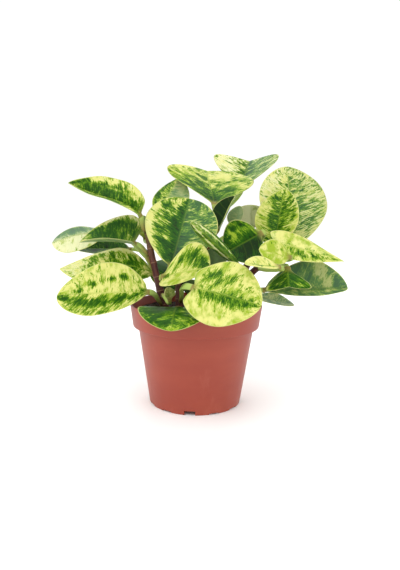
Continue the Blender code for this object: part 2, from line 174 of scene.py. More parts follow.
def leafSkin(look):
    material, tree, shader = startMaterial(
        "leafSkin", Roughness=look["roughness"], IOR=1.45, Specular_IOR_Level=0.12,
        Subsurface_Weight=0.03, Subsurface_Scale=0.002)
    colour = {k: screenColour(*v) for k, v in look.items() if isinstance(v, tuple)}
    along = field(tree, "leafPlace")[0]
    blade = field(tree, "leafBlade")[1]
    level, paleness, fleckShare = split(tree, field(tree, "leafPaint")[0])
    sheenShadeShare, yellowness, streaks = split(tree, field(tree, "leafTone")[0])
    ribAway, edgeAway, upper = split(tree, field(tree, "leafLine")[0])

    # Clouds and streaks; streaks are long along a vein and narrow across it.
    cloud = grain(tree, stretched(tree, along, 0.16, 0.07, 1), 1.0, 3.0, 0.55, 0.5)
    streak = grain(tree, stretched(tree, along, 0.85, 0.13, 1), 1.0, 5.0, 0.65, 0.3)
    fine = grain(tree, stretched(tree, along, 1.9, 0.5, 1), 1.0, 4.0, 0.65)
    fleck = grain(tree, stretched(tree, along, 1.0, 0.75, 1.7), 1.0, 2.0, 0.5)
    patch = maths(tree, "MULTIPLY", maths(tree, "SUBTRACT", cloud, 0.5), 1.5)
    band = maths(tree, "MULTIPLY", maths(tree, "SUBTRACT", streak, 0.5), streaks)
    crumb = maths(tree, "MULTIPLY", maths(tree, "SUBTRACT", fine, 0.5), 0.9)
    total = maths(tree, "ADD", maths(tree, "ADD", level, patch), maths(tree, "ADD", band, crumb))

    ground = mixed(tree, rising(tree, maths(tree, "ADD", paleness, patch), 0.2, 0.9),
                   colour["cream"], colour["pale"])
    haze = grain(tree, stretched(tree, along, 0.17, 0.09, 2.3), 1.0, 3.0, 0.6)
    ground = mixed(tree, rising(tree, maths(tree, "ADD", haze, yellowness), 0.52, 0.78),
                   ground, colour["lime"])
    ground = mixed(tree, rising(tree, total, 0.32, 0.50), ground, colour["lime"])
    ground = mixed(tree, rising(tree, total, 0.46, 0.60), ground, colour["green"])
    ground = mixed(tree, rising(tree, total, 0.62, 0.84), ground, colour["dark"])
    ground = mixed(tree, rising(tree, total, 1.0, 1.35), ground, colour["deep"])
    dots = rising(tree, maths(tree, "ADD", fleck, fleckShare), 0.98, 1.04)
    ground = mixed(tree, dots, ground, colour["deep"])

    # Veins, midrib and margin.
    vein = maths(tree, "PINGPONG", maths(tree, "DIVIDE", split(tree, along)[0], look["veinSpacing"]), 0.5)
    veinLine = maths(tree, "SUBTRACT", 1.0, rising(tree, vein, 0.0, 0.12))
    rib = maths(tree, "SUBTRACT", 1.0, rising(tree, ribAway, 0.3, 1.1))
    lines = maths(tree, "MAXIMUM", maths(tree, "MULTIPLY", veinLine, 0.05),
                  maths(tree, "MULTIPLY", rib, 0.16))
    ground = mixed(tree, lines, ground, colour["lime"])
    # Painted sheen and shade: the bluish-grey tint mixed in by each leaf's sheen-and-shade share.
    ground = mixed(tree, maths(tree, "MULTIPLY", sheenShadeShare, 0.75), ground, colour["blue"])
    edge = maths(tree, "SUBTRACT", 1.0, rising(tree, edgeAway, 0.25, 1.1))
    ground = mixed(tree, maths(tree, "MULTIPLY", edge, 0.8), ground, colour["margin"])
    under = mixed(tree, 0.9, ground, colour["back"])
    ground = mixed(tree, upper, under, ground)

    # Stalk, darker at its foot.
    foot = mixed(tree, rising(tree, ribAway, 0.0, 12.0), colour["stalkFoot"], colour["stalk"])
    ground = mixed(tree, blade, foot, ground)
    tree.links.new(ground, shader.inputs["Base Color"])

    gloss = addNode(tree, "MapRange", {"Value": fine, "To Min": look["roughness"] - 0.05,
                                       "To Max": look["roughness"] + 0.10}).outputs[0]
    tree.links.new(gloss, shader.inputs["Roughness"])
    pores = grain(tree, stretched(tree, along, 2.2, 2.2, 1), 1.0, 3.0, 0.6)
    height = maths(tree, "SUBTRACT", maths(tree, "MULTIPLY", pores, look["grainDepth"]),
                   maths(tree, "MULTIPLY", lines, look["veinDepth"]))
    bumped(tree, shader, height)
    return material


# Stem lines: x, y, height above the soil, diameter, all in millimetres.
stemLines = {
    "stemLeft": [(-28, 0, 0, 8.5), (-33, 0, 18, 7), (-38, 1, 38, 6), (-42, 2, 55, 6), (-46, 3, 76, 5)],
    "stemFront": [(-15, -16, 0, 8), (-15, -15, 18, 7), (-17, -14, 34, 5.5)],
    "stemCentre": [(6, 18, 0, 8.5), (9, 19, 30, 7.5), (11, 20, 60, 6.5), (13, 21, 88, 5.5)],
    "stemRight": [(28, 14, 0, 8), (38, 17, 25, 7), (49, 18, 45, 6), (55, 20, 62, 5)],
    "stemFarRight": [(36, 0, 0, 7.5), (42, 0, 20, 6.5), (49, -4, 36, 6), (59, -12, 44, 5.5),
                     (73, -24, 46, 5)],
}


def stemAt(name, place):  # centre, direction and radius at a place counted in the line's points
    rows = np.array(stemLines[name], float)
    slope = np.gradient(rows, axis=0)
    i = min(max(int(place), 0), len(rows) - 2)
    t = min(max(place - i, 0), 1)
    row = ((2 * t**3 - 3 * t**2 + 1) * rows[i] + (t**3 - 2 * t**2 + t) * slope[i]
           + (3 * t**2 - 2 * t**3) * rows[i + 1] + (t**3 - t**2) * slope[i + 1])
    run = ((6 * t**2 - 6 * t) * (rows[i] - rows[i + 1]) + (3 * t**2 - 4 * t + 1) * slope[i]
           + (3 * t**2 - 2 * t) * slope[i + 1])
    return row[:3], unit(run[:3]), row[3] / 2


# What a leaf is unless its own entry says otherwise; angles in degrees, lengths in millimetres.
plainLeaf = dict(
    slot="leaf_variegated",
    roll=0, fold=12, cup=10, rise=45,  # tilt about the midrib, rise and curl of its halves, stalk's start
    arch=0, peak=0.5,  # height of the midrib's bow, and where along the blade it is highest
    wide=0.5, baseShape=0.75, tipShape=0.6,  # place of the widest point, fullness on either side of it
    near=1.0, far=1.0, shear=0, lobe=0,  # width of each half, slant of its halves, reach behind the base
    thick=1.4, edge=0.5, rib=0.6, ribReach=1.6, groove=0.35, grooveReach=1.1,
    stalkRadius=1.5, stalkFlare=0.5, stalkClear=0.4, wing=1.5, stalkBlend=5.0, skinBlend=6.0,
    wave=0.7, longRipple=9.0, shortRipple=4.7, quilt=0.12, veinSweep=0.30, spacing=1.5)

# Paint of a plain leaf. The level is its share of green, and each spot adds to it:
# (place along, place across, reach along, reach across, amount).
# Painted sheen and shade: a bluish-grey tint whose share runs from the near half's value to the far half's.
plainPaint = dict(level=0.5, middle=0.1, pale=0.3, flecks=0.0, grey=(0.0, 0.0), yellow=0.0, streaks=1.4,
                  under=0.6, spots=())

# Each leaf's bluish-grey tint pair is painted sheen and shade on its near and far halves.
leaves = {
    "leafUpperLeft": dict(stem="stemLeft", join=3.85, base=(-51, 0, 85), tip=(-116, 4, 113), width=54,
        roll=-34, fold=38, arch=5, peak=0.22, cup=-12, wide=0.38, baseShape=0.4, tipShape=0.72, near=0.85,
        far=0.78, rise=40,
        paint=dict(level=0.70, pale=0.35, under=0.4, spots=[
            (0.50, 0.88, 0.60, 0.20, -0.62), (0.52, 0.95, 0.04, 0.16, 0.55), (0.36, 0.92, 0.05, 0.18, 0.60),
            (0.80, 0.85, 0.07, 0.14, 0.45), (0.18, 0.50, 0.10, 0.12, -0.35),
            (0.45, 0.45, 0.14, 0.06, -0.35),
            (0.50, -0.60, 0.60, 0.40, -0.25)])),
    "leafUpperLeftBack": dict(stem="stemLeft", join=3.9, base=(-38, 22, 86), tip=(-18, 38, 120), width=42,
        roll=20, fold=-20,
        paint=dict(level=0.40, yellow=0.10, flecks=0.08, grey=(0.0, 0.75), spots=[
            (0.60, -0.8, 0.50, 0.25, 0.35), (0.60, 0.5, 0.50, 0.40, -0.25)])),
    "leafLeftInner": dict(stem="stemLeft", join=3.3, base=(-49, 22, 63), tip=(-52, 24, 85), width=18,
        roll=-30, fold=10,
        paint=dict(level=0.45, yellow=0.15, flecks=0.08, grey=(0.0, 0.6))),
    "leafLeftLow": dict(stem="stemLeft", join=0.45, base=(-42, -15, 19), tip=(-120, -27, 17), width=54,
        roll=-52, fold=12, arch=2, shear=-8,
        paint=dict(level=0.20, yellow=0.06, pale=0.2, streaks=1.5, spots=[
            (0.55, -0.45, 0.36, 0.24, 0.56), (0.60, -0.88, 0.30, 0.14, 0.35),
            (0.93, -0.35, 0.10, 0.35, 0.45),
            (0.25, -0.25, 0.18, 0.22, 0.35), (0.46, 0.46, 0.05, 0.09, 0.60), (0.33, 0.58, 0.06, 0.11, 0.65),
            (0.64, 0.32, 0.09, 0.11, 0.42), (0.76, 0.10, 0.08, 0.12, 0.40),
            (0.06, 0.1, 0.09, 0.60, 0.42)])),
    "leafLeftMid": dict(stem="stemLeft", join=1.2, base=(-40, 13, 31), tip=(-127, 10, 35), width=46,
        roll=-48, fold=0, arch=12, peak=0.3, wide=0.4, tipShape=0.85, far=0.8,
        paint=dict(level=0.50, pale=0.5, flecks=0.02, streaks=1.1, spots=[
            (0.90, 0.1, 0.20, 0.90, -0.50), (0.45, 0.98, 0.40, 0.14, -0.45),
            (0.30, 0.2, 0.20, 0.40, 0.10)])),
    "leafLeftCupped": dict(stem="stemLeft", join=2.85, base=(-56, 6, 60), tip=(-105, -4, 61), width=54,
        roll=-22, fold=35, arch=2, lobe=6, baseShape=0.45, tipShape=0.85, wide=0.32, near=0.5, shear=-8,
        paint=dict(level=0.72, pale=0.6, grey=(0.3, 0.12), spots=[
            (0.60, 0.95, 0.50, 0.15, -0.50), (0.50, -0.95, 0.50, 0.16, -0.60),
            (0.95, 0.0, 0.15, 0.50, -0.40)])),
    "leafLeftFar": dict(stem="stemLeft", join=2.4, base=(-86, 36, 68), tip=(-138, 28, 57), width=36,
        roll=-38, fold=-20, arch=4, tipShape=0.45, wide=0.6,
        paint=dict(level=0.25, pale=0.8, grey=(0.08, 0.75), spots=[
            (0.50, 0.65, 0.60, 0.40, 0.55), (0.50, -0.5, 0.60, 0.40, -0.30)])),
    "leafLeftShaded": dict(stem="stemLeft", join=2.0, base=(-64, 36, 52), tip=(-117, 38, 51), width=32,
        roll=-25, fold=10, slot="leaf_shaded",
        paint=dict(level=0.85, under=0.1, spots=[(0.95, 0.0, 0.16, 0.60, -0.45)])),
    "leafBackLeft": dict(stem="stemLeft", join=0.5, base=(-26, 16, 12), tip=(-18, 60, 40), width=50,
        fold=8, arch=4, slot="leaf_shaded",
        paint=dict(level=0.9)),
    "leafCentreLarge": dict(stem="stemFront", join=1.85, base=(-23, -12, 41), tip=(-7, 4, 101), width=68,
        roll=32, fold=6, wide=0.6, tipShape=0.42,
        paint=dict(level=0.64, streaks=2.0, flecks=0.02, grey=(0.08, 0.30), spots=[
            (0.80, -0.45, 0.22, 0.25, -0.30), (0.40, -0.92, 0.45, 0.16, -0.65),
            (0.15, 0.0, 0.25, 0.60, 0.38),
            (0.62, -0.10, 0.40, 0.14, 0.25), (0.60, 0.60, 0.30, 0.30, -0.15)])),
    "leafCentreSmall": dict(stem="stemFront", join=1.6, base=(-30, -24, 34), tip=(11, -34, 44), width=50,
        roll=45, fold=20, cup=20, shear=-10,
        paint=dict(level=0.20, yellow=0.12, pale=0.1, spots=[
            (0.05, 0.2, 0.13, 0.40, 0.80), (0.50, -0.55, 0.40, 0.30, 0.45), (0.90, -0.3, 0.15, 0.30, 0.40),
            (0.50, 0.6, 0.50, 0.35, -0.30)])),
    "leafFrontRight": dict(stem="stemFront", join=0.7, base=(-3, -53, 30), tip=(51, -75, 20), width=61,
        roll=48, fold=3, lobe=8, baseShape=0.5,
        paint=dict(level=0.22, yellow=0.10, flecks=0.07, pale=0.15, spots=[
            (0.72, 0.10, 0.30, 0.26, 0.46), (0.30, 0.12, 0.25, 0.16, 0.46), (0.28, -0.55, 0.26, 0.32, 0.34),
            (0.82, -0.80, 0.20, 0.25, -0.20), (0.50, 0.92, 0.60, 0.24, -0.35),
            (0.70, -0.45, 0.20, 0.15, 0.15)])),
    "leafFrontLow": dict(stem="stemFront", join=0.3, base=(-16, -28, 8), tip=(-19, -80, 0), width=60,
        fold=-2, arch=6, baseShape=0.5, lobe=4,
        paint=dict(level=0.74, yellow=0.25, streaks=1.1, spots=[
            (0.35, 0.40, 0.40, 0.40, 0.35), (0.70, -0.30, 0.30, 0.50, -0.20),
            (0.20, -0.60, 0.15, 0.25, 0.30),
            (0.97, 0.0, 0.08, 0.80, -0.35)])),
    "leafFrontTiny": dict(stem="stemLeft", join=0.75, base=(-23, -24, 13), tip=(-25, -22, 25), width=13,
        fold=10,
        paint=dict(level=0.28, yellow=0.10, grey=(0.25, 0.25))),
    "leafCentreNarrow": dict(stem="stemRight", join=1.2, base=(39, -20, 42), tip=(-5, -54, 83), width=26,
        roll=66, fold=58,
        paint=dict(level=0.70, under=0.08, streaks=1.0, pale=0.8, spots=[
            (0.50, 0.30, 0.70, 0.12, -0.65), (0.50, -0.55, 0.60, 0.10, -0.55),
            (0.90, 0.0, 0.15, 0.80, -0.25)])),
    "leafTopCentre": dict(stem="stemCentre", join=2.95, base=(15, 20, 96), tip=(8, 60, 128), width=88,
        roll=8, fold=14, cup=-8, wide=0.7, baseShape=1, tipShape=0.45,
        paint=dict(level=0.46, yellow=0.08, streaks=1.7, grey=(0.0, 0.12), spots=[
            (0.10, 0.0, 0.24, 0.80, 0.50), (0.50, -0.60, 0.30, 0.35, 0.20), (0.85, 0.3, 0.20, 0.50, -0.35),
            (0.92, -0.80, 0.25, 0.30, -0.30)])),
    "leafTopBack": dict(stem="stemCentre", join=2.7, base=(43, 66, 112), tip=(53, 104, 141), width=74,
        fold=20, wide=0.7, baseShape=1, tipShape=0.45,
        paint=dict(level=0.42, streaks=2.1, pale=0.7, grey=(0.0, 0.35), spots=[
            (0.60, -0.70, 0.50, 0.30, -0.25), (0.50, 0.0, 0.50, 0.25, 0.25),
            (0.50, 0.6, 0.50, 0.40, 0.10)])),
    "leafTopDark": dict(stem="stemCentre", join=2.3, base=(18, 3, 73), tip=(33, 6, 104), width=34, roll=10,
        fold=20, slot="leaf_shaded",
        paint=dict(level=1.30, spots=[(0.50, 0.95, 0.60, 0.16, -1.0)])),
    "leafCentreOlive": dict(stem="stemRight", join=2.65, base=(57, -2, 72), tip=(25, -9, 54), width=45,
        roll=-62, fold=10, slot="leaf_shaded",
        paint=dict(level=0.88, yellow=0.40, spots=[
            # Painted shade: the spot at -0.4 across darkens the near half as its shadow.
            (0.50, 0.60, 0.60, 0.38, -0.38), (0.50, -0.4, 0.60, 0.40, 0.45), (0.35, 0.75, 0.06, 0.08, 0.75),
            (0.55, 0.70, 0.06, 0.08, 0.75), (0.72, 0.55, 0.06, 0.08, 0.70)])),
    "leafBackBlue": dict(stem="stemCentre", join=1.9, base=(34, 44, 74), tip=(39, 34, 95), width=18,
        fold=10,
        paint=dict(level=0.4, grey=(0.8, 0.8))),
    "leafBackPale": dict(stem="stemRight", join=2.5, base=(54, 63, 72), tip=(51, 46, 96), width=34,
        fold=10,
        # Painted light: made pale, with no green and no darker underside, so that it reads bright though it
        # lies in the shade of its neighbours.
        paint=dict(level=-0.2, pale=1.2, under=0.0, grey=(0.25, 0.25))),
    "leafCentreShaded": dict(stem="stemCentre", join=1.0, base=(16, 4, 37), tip=(15, -4, 58), width=24,
        fold=10,
        paint=dict(level=0.8, grey=(0.4, 0.4))),
    "leafInnerLow": dict(stem="stemCentre", join=0.5, base=(3, -4, 10), tip=(-5, -22, 32), width=34,
        fold=8, slot="leaf_shaded",
        paint=dict(level=0.95)),
    "leafRightRound": dict(stem="stemRight", join=2.4, base=(95, 38, 58), tip=(87, 66, 134), width=73,
        fold=6, wide=0.54,
        paint=dict(level=0.38, streaks=2.2, flecks=0.05, pale=0.5, grey=(0.08, 0.28), spots=[
            (0.70, -0.75, 0.40, 0.30, -0.25), (0.50, 0.05, 0.45, 0.30, 0.22),
            (0.95, 0.0, 0.12, 0.60, -0.15)])),
    "leafRightCup": dict(stem="stemRight", join=2.9, base=(71, 17, 54), tip=(81, 31, 111), width=47,
        fold=12,
        paint=dict(level=0.44, yellow=0.12, streaks=1.8, spots=[
            (0.30, 0.0, 0.36, 0.50, 0.36), (0.60, 0.95, 0.50, 0.15, -0.30),
            (0.60, -0.95, 0.50, 0.15, -0.30)])),
    "leafRightLong": dict(stem="stemFarRight", join=3.0, base=(66, -12, 65), tip=(127, -22, 50), width=40,
        roll=32, fold=-8, near=1.1, far=0.85, lobe=11, baseShape=0.45, wide=0.25, tipShape=1.1,
        paint=dict(level=0.30, yellow=0.12, flecks=0.04, spots=[
            (0.50, -0.60, 0.60, 0.40, -0.28), (0.55, 0.35, 0.50, 0.35, 0.25)])),
    "leafRightYellow": dict(stem="stemFarRight", join=3.9, base=(78, -36, 54), tip=(51, -41, 61), width=25,
        roll=-54, rise=30, fold=8,
        paint=dict(level=0.06, yellow=0.20, pale=0.0, spots=[
            (0.25, 0.45, 0.14, 0.22, 0.42), (0.60, 0.75, 0.12, 0.12, 0.40),
            (0.15, -0.2, 0.12, 0.2, 0.25)])),
    "leafRightFlat": dict(stem="stemFarRight", join=3.05, base=(67, -54, 48), tip=(38, -62, 51), width=23,
        roll=-20, fold=12, rise=-40,
        paint=dict(level=0.12, pale=0.2, spots=[(0.50, -0.20, 0.50, 0.15, 0.50)])),
    "leafRightDrooping": dict(stem="stemFarRight", join=3.45, base=(76, -36, 45), tip=(75, -52, 32),
        width=42, roll=6, fold=-30, wide=0.72, baseShape=1.1,
        paint=dict(level=0.78, yellow=0.05, spots=[
            (0.75, -0.60, 0.16, 0.25, -0.32), (0.40, 0.20, 0.20, 0.25, -0.12),
            (0.55, 0.95, 0.6, 0.10, -0.4)])),
    "leafRightLow": dict(stem="stemFarRight", join=0.75, base=(60, -5, 21), tip=(134, -12, 25), width=52,
        roll=42, fold=32, wide=0.55, far=0.85,
        paint=dict(level=0.62, grey=(0.55, 0.45), streaks=0.9, spots=[
            (0.66, -0.62, 0.09, 0.30, -0.50), (0.78, -0.30, 0.06, 0.25, -0.30),
            (0.50, 0.30, 0.60, 0.30, -0.20),
            (0.30, -0.50, 0.25, 0.40, 0.15)])),
    "leafRightLowest": dict(stem="stemFarRight", join=0.4, base=(52, 4, 13), tip=(90, 4, 6), width=34,
        roll=8, fold=4,
        paint=dict(level=0.45, grey=(0.6, 0.6))),
    "leafRightBehind": dict(stem="stemRight", join=1.65, base=(62, 44, 47), tip=(104, 66, 50), width=32,
        fold=4, slot="leaf_shaded",
        paint=dict(level=0.95)),
}


def midribOf(leaf, u):
    base, tip = leaf["base"], leaf["tip"]
    along = unit(tip - base)
    up = np.array([0.0, 0.0, 1.0])
    up = unit(up - along * np.dot(up, along))
    turn = math.radians(leaf["roll"])
    normal = up * math.cos(turn) + np.cross(along, up) * math.sin(turn)
    side = np.cross(along, normal)
    p = leaf["peak"]
    u = np.clip(u, 0, 1)
    if p <= 0.5:
        power = (1 - p) / p
        bow = u * (1 - u)**power / (p * (1 - p)**power)
    else:
        power = p / (1 - p)
        bow = (1 - u) * u**power / ((1 - p) * p**power)
    return base + np.outer(u, tip - base) + np.outer(bow, normal * leaf["arch"]), side


def bladeDirections(leaf, u):  # midrib points with the ways along, across and up at each
    points, side = midribOf(leaf, u)
    ahead = midribOf(leaf, u + 0.001)[0] - midribOf(leaf, u - 0.001)[0]
    ahead /= np.linalg.norm(ahead, axis=1)[:, None]
    across = side[None, :] - ahead * (ahead @ side)[:, None]
    across /= np.linalg.norm(across, axis=1)[:, None]
    return points, ahead, across, np.cross(across, ahead)


def bladeSheet(leaf, u, v, seed):  # middle surface and its normals, with waves near the margin
    points, ahead, across, normal = bladeDirections(leaf, u)
    w = leaf["wide"]
    opening = np.sin(math.pi / 2 * np.clip(u / w, 0, 1))**leaf["baseShape"]
    closing = np.cos(math.pi / 2 * np.clip((u - w) / (1 - w), 0, 1))**leaf["tipShape"]
    share = np.where(u < w, opening, closing)[:, None]
    half = leaf["width"] / 2
    fold, cup = math.radians(leaf["fold"]), math.radians(leaf["cup"])
    sign = np.where(v < 0, -1.0, 1.0)[None, :]
    away = np.abs(v)[None, :]
    halfShare = np.where(v < 0, leaf["near"], leaf["far"])[None, :]
    arc = away * share * halfShare
    if cup:
        x = (np.sin(fold + cup * arc) - math.sin(fold)) / cup
        y = (math.cos(fold) - np.cos(fold + cup * arc)) / cup
    else:
        x, y = arc * math.cos(fold), arc * math.sin(fold)
    forward = leaf["shear"] * v[None, :] * share - leaf["lobe"] * away**1.5 * ((1 - u)**2)[:, None]
    length = np.linalg.norm(leaf["tip"] - leaf["base"])
    run = u[:, None] * length
    ripple = (np.sin(run / leaf["longRipple"] + 1.7 * seed + 2 * sign)
              + 0.5 * np.sin(run / leaf["shortRipple"] + 2.9 * seed + 4 * sign))
    lift = leaf["wave"] * min(1, half / 25) * away**3 * share * ripple * smooth((1 - u) / 0.15)[:, None]
    veinPlace = run - leaf["veinSweep"] * half * away**1.3
    veins = np.cos(2 * math.pi * veinPlace / leafSkinLook["veinSpacing"])
    lift = lift + leaf["quilt"] * veins * (away * (1 - away**4)) * share
    grid = (points[:, None] + across[:, None] * (sign * x * half)[:, :, None]
            + normal[:, None] * (y * half + lift)[:, :, None] + ahead[:, None] * forward[:, :, None])
    slopeU, slopeV = np.gradient(grid, axis=0), np.gradient(grid, axis=1)
    normals = np.cross(slopeV, slopeU)
    size = np.linalg.norm(normals, axis=2)[:, :, None]
    normals = np.where(size > 1e-9, normals / np.maximum(size, 1e-9), normal[:, None])
    return grid, normals, arc * half, (halfShare * share - arc) * half, veinPlace


def stalkLine(leaf, steps):
    centre, axis, radius = stemAt(leaf["stem"], leaf["join"])
    points, ahead, across, _ = bladeDirections(leaf, np.array([0.0]))
    end = points[0]
    out = end - centre
    out = unit(out - axis * np.dot(out, axis))
    start = centre + out * (radius + leaf["stalkClear"])
    rise = math.radians(leaf["rise"])
    reach = np.linalg.norm(end - start) * 0.38
    p1 = start + (out * math.cos(rise) + axis * math.sin(rise)) * reach
    p2 = end - ahead[0] * reach
    k = np.asarray(steps, float)[:, None]
    path = (1 - k)**3 * start + 3 * (1 - k)**2 * k * p1 + 3 * (1 - k) * k**2 * p2 + k**3 * end
    ways = (1 - k)**2 * (p1 - start) + 2 * (1 - k) * k * (p2 - p1) + k**2 * (end - p2)
    ways /= np.linalg.norm(ways, axis=1)[:, None]
    return path, ways, out, across[0]


def paintOf(paint, u, v):
    level = paint["level"] + paint["middle"] * (1 - v**2)
    for along, across, reachAlong, reachAcross, amount in paint["spots"]:
        level = level + amount * np.exp(-((u - along) / reachAlong)**2 - ((v - across) / reachAcross)**2)
    return level


def buildLeaf(name, entry, number, skin):
    leaf = dict(plainLeaf)
    leaf.update(entry)
    paint = dict(plainPaint)
    paint.update(entry["paint"])
    leaf["base"], leaf["tip"] = np.array(leaf["base"], float), np.array(leaf["tip"], float)
    length = np.linalg.norm(leaf["tip"] - leaf["base"])
    seed = number * 1.37
    alongCount = int(np.clip(length / leaf["spacing"], 18, 56))
    topCount = int(np.clip(leaf["width"] * 0.75 / leaf["spacing"], 9, 24)) * 2 + 1
    t = np.linspace(0, 1, alongCount)
    u = (0.35 * t + 0.65 * (1 - np.cos(math.pi * t)) / 2) * 0.998  # closer together at both ends
    turn = np.linspace(math.pi, 0, topCount)
    v = 0.45 * np.cos(turn) + 0.55 * np.linspace(-1, 1, topCount)
    grid, normals, ribAway, edgeAway, veinPlace = bladeSheet(leaf, u, v, seed)

    away = np.abs(v)[None, :]
    slim = np.clip(1.5 - u, 0, 1)[:, None]
    body = (leaf["thick"] - leaf["edge"]) / 2 * (1 - away**2) * slim
    margin = leaf["edge"] / 2 * np.sqrt(np.clip(1 - away**10, 0, 1)) * smooth((1 - u) / 0.04)[:, None]**0.5
    groove = leaf["groove"] * np.exp(-(ribAway / leaf["grooveReach"])**2) * (1 - u)[:, None]
    ridge = leaf["rib"] * np.exp(-(ribAway / leaf["ribReach"])**2) * (1 - u)[:, None]
    top = grid + normals * (body + margin - groove)[:, :, None]
    bottom = grid - normals * (body + margin + ridge)[:, :, None]
    lower = slice(topCount - 2, 0, -1)
    blade = np.concatenate([top, bottom[:, lower]], axis=1)

    # The blade grows out of the round stalk over its first few millimetres.
    points, _, across, normal = bladeDirections(leaf, u)
    circle = np.concatenate([turn, -turn[lower]])
    wing = leaf["wing"] * min(1, leaf["width"] / 40)
    sideways = (leaf["stalkRadius"] + wing) * np.cos(circle)
    upward = leaf["stalkRadius"] * np.sin(circle)
    stalkEnd = (points[:, None] + across[:, None] * sideways[None, :, None]
                + normal[:, None] * upward[None, :, None])
    share = smooth(u * length / leaf["stalkBlend"])[:, None, None]
    blade = stalkEnd * (1 - share) + blade * share

    steps = np.linspace(0, 1, max(6, int(length / 6)))
    path, ways, out, side = stalkLine(leaf, steps)
    sides = [side]
    for way in ways[::-1]:
        sides.append(unit(sides[-1] - way * np.dot(way, sides[-1])))
    sides = sides[1:][::-1]
    stalkRings = []
    for i, step in enumerate(steps[:-1]):
        up = np.cross(sides[i], ways[i])
        radius = leaf["stalkRadius"] + leaf["stalkFlare"] * (1 - step)**2
        hollow = 1 - 0.16 * np.exp(-((np.degrees(circle) - 90) / 30)**2)  # shallow channel on top
        wide = radius + wing * smooth(step * 1.6)
        ring = path[i] + (np.outer(wide * np.cos(circle), sides[i])
                          + np.outer(radius * hollow * np.sin(circle), up))
        if i == 0:
            ring = ring - np.outer((ring - path[0]) @ out / np.dot(ways[0], out), ways[0])
        stalkRings.append(ring)
    stalkRings = np.array(stalkRings)
    rings = np.concatenate([stalkRings, blade])
    count, around = rings.shape[:2]
    lifted = rings.reshape(-1, 3) + np.array([0, 0, soilTop])
    piece = meshPiece(name, lifted, ringFaces(count, around), skin, [nodeOf(name)])

    # Fields that the skin reads.
    def both(values, stalkValue=0.0):
        values = np.broadcast_to(values, grid.shape[:2])
        full = np.concatenate([values, values[:, lower]], axis=1)
        return np.concatenate([np.full((len(stalkRings), around), stalkValue), full]).ravel()
    stalkAway = np.repeat(np.linalg.norm(path[:-1] - path[0], axis=1), around)
    stalkPart = len(stalkRings) * around
    rib = both(ribAway)
    rib[:stalkPart] = stalkAway
    onTop = np.tile(np.concatenate([np.ones(topCount), np.full(topCount - 2, 1 - paint["under"])]), count)
    isBlade = both(smooth(u * length / leaf["skinBlend"])[:, None])
    sideShift = np.where(v < 0, 40.0, 0.0)[None, :]
    q = both(veinPlace + sideShift)
    r = both(np.abs(v)[None, :] * leaf["width"] / 2)
    addField(piece, "leafPlace", np.stack([q, r, np.full_like(q, seed * 7.1)], 1))
    uu, vv = u[:, None], v[None, :]
    level = both(paintOf(paint, uu, vv))
    addField(piece, "leafPaint", np.stack([level, np.full_like(q, paint["pale"]),
                                           np.full_like(q, paint["flecks"])], 1))
    # Painted sheen and shade: share of the bluish-grey tint, from the near half's value to the far half's.
    grey = both(paint["grey"][0] + (paint["grey"][1] - paint["grey"][0]) * smooth(vv * 4 + 0.5))
    addField(piece, "leafTone", np.stack([grey, np.full_like(q, paint["yellow"]),
                                          np.full_like(q, paint["streaks"])], 1))
    addField(piece, "leafLine", np.stack([rib, both(edgeAway), onTop], 1))
    addField(piece, "leafBlade", isBlade)


def nodeOf(name):  # leafUpperLeft stands for leaf_upper_left
    return "".join("_" + c.lower() if c.isupper() else c for c in name)


skin = leafSkin(leafSkinLook)
for number, (name, entry) in enumerate(leaves.items()):
    buildLeaf(name, entry, number, skin)
print("leaves built:", len(leaves))


# Stems: red-brown bark with swollen joints and leaf scars.
stemLook = dict(bark=(66, 26, 20), light=(108, 52, 36), scar=(150, 112, 78), young=(96, 92, 44),
                sides=28, step=0.9, jointSpacing=13.0, firstJoint=6.0, jointReach=1.3, jointSwell=0.275,
                ridges=7, ridgeDepth=0.12, inset=0.1, clear=0.3, youngFrom=0.55,
                topRings=((0.35, 0.9), (0.6, 0.68), (0.75, 0.35)))  # lift and width of each, in radii


def stemBark(look):
    material, tree, shader = startMaterial("stemBark", Roughness=0.55, IOR=1.45)
    colour = {k: screenColour(*look[k]) for k in ("bark", "light", "scar", "young")}
    place = field(tree, "stemPlace")[0]
    joint, young = split(tree, field(tree, "stemWear")[0])[1:]
    patches = grain(tree, stretched(tree, place, 0.5, 0.5, 0.12), 1.0, 4.0, 0.6)
    specks = grain(tree, stretched(tree, place, 1.6, 1.6, 1.0), 1.0, 3.0, 0.6)
    bark = mixed(tree, rising(tree, patches, 0.42, 0.66), colour["bark"], colour["light"])
    bark = mixed(tree, maths(tree, "MULTIPLY", young, 0.55), bark, colour["young"])
    scarred = maths(tree, "ADD", joint, maths(tree, "MULTIPLY", specks, 0.4))
    bark = mixed(tree, rising(tree, scarred, 0.95, 1.25), bark, colour["scar"])
    bark = mixed(tree, rising(tree, specks, 0.60, 0.70), bark, colour["bark"])
    tree.links.new(bark, shader.inputs["Base Color"])
    bumped(tree, shader, maths(tree, "ADD", maths(tree, "MULTIPLY", patches, 0.5),
                               maths(tree, "MULTIPLY", specks, 0.2)))
    return material


